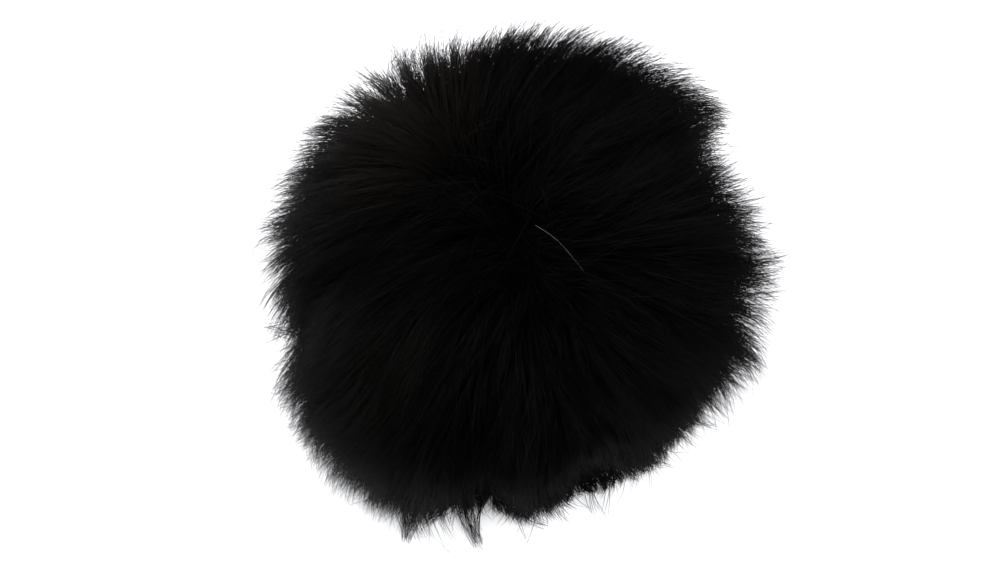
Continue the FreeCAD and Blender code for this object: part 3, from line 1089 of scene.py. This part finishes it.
class WINDSCREEN_OT_stitches(bpy.types.Operator):
    """Sew every row of stitches"""

    bl_idname = "windscreen.stitches"
    bl_label = "Stitches"

    def execute(self, context):
        group = stitch_tree()
        thread = patterned("sewing_thread", twist, 0.5, 0.05 * MM)
        rows = [(node, body, ring_path(node), True) for body, nodes in RINGS.items() for node in nodes]
        for name, heading in SEAMS.items():
            node = "gore_seam_stitches_" + name
            rows.append((node, "fur_cover", seam_path(node, heading), False))
        for node, body, points, closed in rows:
            piece = baked_nodes(
                path_object(points, closed), group, {"Thread": THREAD, "Material": thread}, node + "_thread"
            )
            finish_piece(piece, body, "thread", node)
        return {"FINISHED"}


# ---- the stage
class StageSettings(bpy.types.PropertyGroup):
    elevation: bpy.props.FloatProperty(
        name="Elevation", description="How far above the horizon the camera looks from",
        default=math.radians(72), subtype="ANGLE",
    )
    lens: a_share("Lens", "Focal length in millimetres", 85.0)
    view_width: a_length("View width", "What the frame takes in, at the windscreen", 0.2415)
    aim_up: a_length("Aim up", "How far above the dome's centre the camera aims", -0.0019)
    aim_left: a_length("Aim left", "How far left of the axis the camera aims", 0.0029)


TABLE_COLOUR, TABLE_ROUGHNESS, TABLE_HALF = (0.9, 0.9, 0.92, 1), 0.7, 3.0
SKY_STRENGTH = 1.15
LIGHTS = {"key": ((-0.3, 0.2, 0.8), 8), "fill": ((0.4, -0.3, 0.7), 6)}  # place, and watts
LIGHT_ACROSS, LIGHT_AIM = 0.5, Vector((0, 0, 0.05))
CAMERA_AIM = Vector((0, 0, 0.0415))


def add_table():
    material, _, shader = new_material("pale_table")
    shader.inputs["Base Color"].default_value = TABLE_COLOUR
    shader.inputs["Roughness"].default_value = TABLE_ROUGHNESS
    mesh = bpy.data.meshes.new("table")
    corners = [(x * TABLE_HALF, y * TABLE_HALF, 0) for x, y in ((-1, -1), (1, -1), (1, 1), (-1, 1))]
    mesh.from_pydata(corners, [], [(0, 1, 2, 3)])
    mesh.materials.append(material)
    add_object("table", mesh)


def add_light(name, place, power):
    data = bpy.data.lights.new(name, "AREA")
    data.shape, data.size, data.energy = "DISK", LIGHT_ACROSS, power
    light = add_object(name, data)
    light.location = place
    light.rotation_euler = (LIGHT_AIM - Vector(place)).to_track_quat("-Z", "Y").to_euler()


def add_camera(settings):
    """A camera that looks down at the windscreen from the front."""
    data = bpy.data.cameras.new("camera")
    data.lens, data.clip_start = settings.lens, 0.01
    camera = add_object("camera", data)
    tilt = settings.elevation
    back = Vector((0, -math.cos(tilt), math.sin(tilt)))
    distance = settings.lens / data.sensor_width * settings.view_width
    up = Vector((0, math.sin(tilt), math.cos(tilt)))
    aim = CAMERA_AIM + up * settings.aim_up - Vector((settings.aim_left, 0, 0))
    camera.location = aim + back * distance
    camera.rotation_euler = (-back).to_track_quat("-Z", "Y").to_euler()
    return camera


class WINDSCREEN_OT_stage(bpy.types.Operator):
    """Set out the table, the lights and the camera"""

    bl_idname = "windscreen.stage"
    bl_label = "Stage"

    def execute(self, context):
        add_table()
        world = bpy.data.worlds.new("studio")
        world.use_nodes = True
        background = world.node_tree.nodes["Background"]
        background.inputs["Color"].default_value = (1, 1, 1, 1)
        background.inputs["Strength"].default_value = SKY_STRENGTH
        context.scene.world = world
        for name, (place, power) in LIGHTS.items():
            add_light(name, place, power)
        context.scene.view_settings.view_transform = "Standard"
        context.scene.camera = add_camera(context.scene.windscreen_stage)
        return {"FINISHED"}


class WINDSCREEN_PT_panel(bpy.types.Panel):
    bl_label = "Furry Windscreen"
    bl_space_type = "VIEW_3D"
    bl_region_type = "UI"
    bl_category = "Windscreen"

    def draw(self, context):
        layout = self.layout
        for operator in OPERATORS:
            layout.operator(operator.bl_idname)


GROUPS = {"windscreen_fur": FurSettings, "windscreen_stage": StageSettings}
OPERATORS = [
    WINDSCREEN_OT_foam,
    WINDSCREEN_OT_cloth,
    WINDSCREEN_OT_stitches,
    WINDSCREEN_OT_fur,
    WINDSCREEN_OT_stage,
]


def register():
    for cls in (*GROUPS.values(), *OPERATORS, WINDSCREEN_PT_panel):
        bpy.utils.register_class(cls)
    for name, cls in GROUPS.items():
        setattr(bpy.types.Scene, name, bpy.props.PointerProperty(type=cls))


def unregister():
    for name in GROUPS:
        delattr(bpy.types.Scene, name)
    for cls in (*GROUPS.values(), *OPERATORS, WINDSCREEN_PT_panel):
        bpy.utils.unregister_class(cls)


def main():
    register()
    for operator in OPERATORS:
        group, name = operator.bl_idname.split(".")
        getattr(getattr(bpy.ops, group), name)()


if __name__ == "__main__":
    main()
